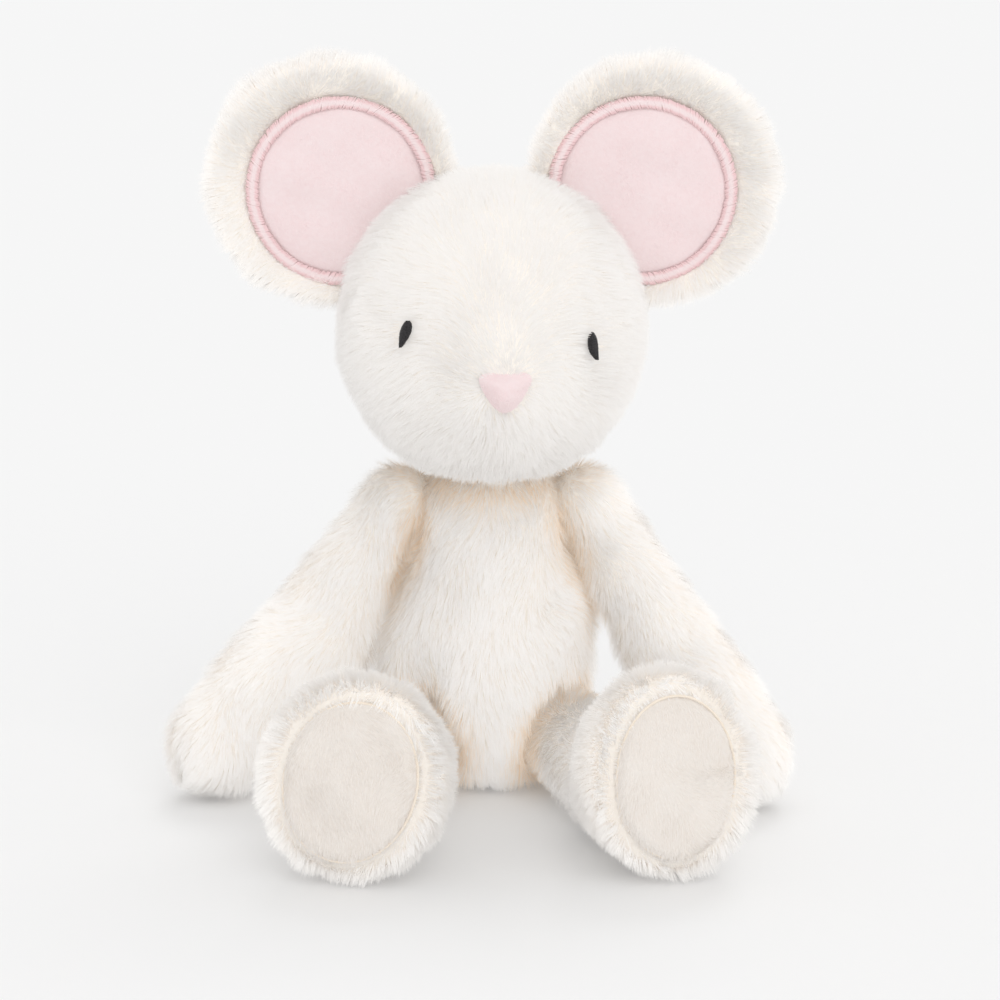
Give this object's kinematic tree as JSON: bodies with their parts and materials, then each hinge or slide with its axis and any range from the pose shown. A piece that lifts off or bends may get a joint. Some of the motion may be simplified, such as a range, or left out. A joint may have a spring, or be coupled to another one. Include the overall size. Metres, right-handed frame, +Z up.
{
  "type": "plush mouse",
  "caption": "Seated soft toy mouse sewn from cream fur panels, with round pink-lined ears and floppy limbs that turn at the seams.",
  "frame": {"origin": "middle of the flat seat under the torso, on the surface that the toy sits on", "axes": "+Z up, the toy faces -Y, and its left side is at +X"},
  "size_m": [0.1843, 0.2004, 0.217],
  "materials": {
    "cream_fur": "matt, long soft pile",
    "short_pile": "matt, brushed short pile",
    "pink_pile": "matt, brushed short pile",
    "rose_thread": "satin embroidery thread",
    "eye_thread": "satin embroidery thread",
    "fibre_fill": "loose matt fibre",
    "pellets": "satin granules"
  },
  "bodies": {
    "torso": {"torso_front": "cream_fur", "torso_back": "cream_fur", "torso_stuffing": "fibre_fill", "seat_pellet_pouch": "pellets"},
    "head": {"head_left_panel": "cream_fur", "head_right_panel": "cream_fur", "head_gusset": "cream_fur", "head_stuffing": "fibre_fill", "eye_left": "eye_thread", "eye_right": "eye_thread", "nose": "pink_pile"},
    "ear_left": {"ear_left_back": "cream_fur", "ear_left_front": "cream_fur", "ear_left_stitching": "rose_thread", "ear_left_patch": "pink_pile"},
    "ear_right": {"ear_right_back": "cream_fur", "ear_right_front": "cream_fur", "ear_right_stitching": "rose_thread", "ear_right_patch": "pink_pile"},
    "arm_left": {"arm_left_outer": "cream_fur", "arm_left_inner": "cream_fur", "arm_left_stuffing": "fibre_fill"},
    "arm_right": {"arm_right_outer": "cream_fur", "arm_right_inner": "cream_fur", "arm_right_stuffing": "fibre_fill"},
    "leg_left": {"leg_left_outer": "cream_fur", "leg_left_inner": "cream_fur", "leg_left_stuffing": "fibre_fill", "leg_left_sole": "short_pile"},
    "leg_right": {"leg_right_outer": "cream_fur", "leg_right_inner": "cream_fur", "leg_right_stuffing": "fibre_fill", "leg_right_sole": "short_pile"},
    "tail": {"tail": "pink_pile"}
  },
  "joints": [
    {"name": "neck_nod", "type": "hinge", "parent": "torso", "child": "head", "pos_m": [0, -0.002, 0.088], "axis": [1, 0, 0], "range_deg": [-15, 15], "stiffness_Nm_per_rad": 1.5},
    {"name": "ear_left_flop", "type": "hinge", "parent": "head", "child": "ear_left", "pos_m": [0.03597, 0.001, 0.17039], "axis": [-0.6691, 0, 0.7431], "range_deg": [-20, 20], "stiffness_Nm_per_rad": 0.1},
    {"name": "ear_right_flop", "type": "hinge", "parent": "head", "child": "ear_right", "pos_m": [-0.03597, 0.001, 0.17039], "axis": [0.6691, 0, 0.7431], "range_deg": [-20, 20], "stiffness_Nm_per_rad": 0.1},
    {"name": "shoulder_left_lift", "type": "hinge", "parent": "torso", "child": "arm_left", "pos_m": [0.029, 0, 0.083], "axis": [-0.6487, -0.7557, -0.0899], "range_deg": [0, 70]},
    {"name": "shoulder_right_lift", "type": "hinge", "parent": "torso", "child": "arm_right", "pos_m": [-0.029, 0, 0.083], "axis": [-0.6308, 0.7295, 0.2644], "range_deg": [0, 70]},
    {"name": "hip_left_lift", "type": "hinge", "parent": "torso", "child": "leg_left", "pos_m": [0.025, -0.016, 0.0155], "axis": [-0.9563, -0.2924, 0], "range_deg": [0, 24]},
    {"name": "hip_right_lift", "type": "hinge", "parent": "torso", "child": "leg_right", "pos_m": [-0.025, -0.016, 0.0155], "axis": [-0.9877, 0.1564, 0], "range_deg": [0, 24]},
    {"name": "tail_swing", "type": "hinge", "parent": "torso", "child": "tail", "pos_m": [0, 0.0316, 0.0105], "axis": [0, 0, 1], "range_deg": [-20, 20]}
  ]
}
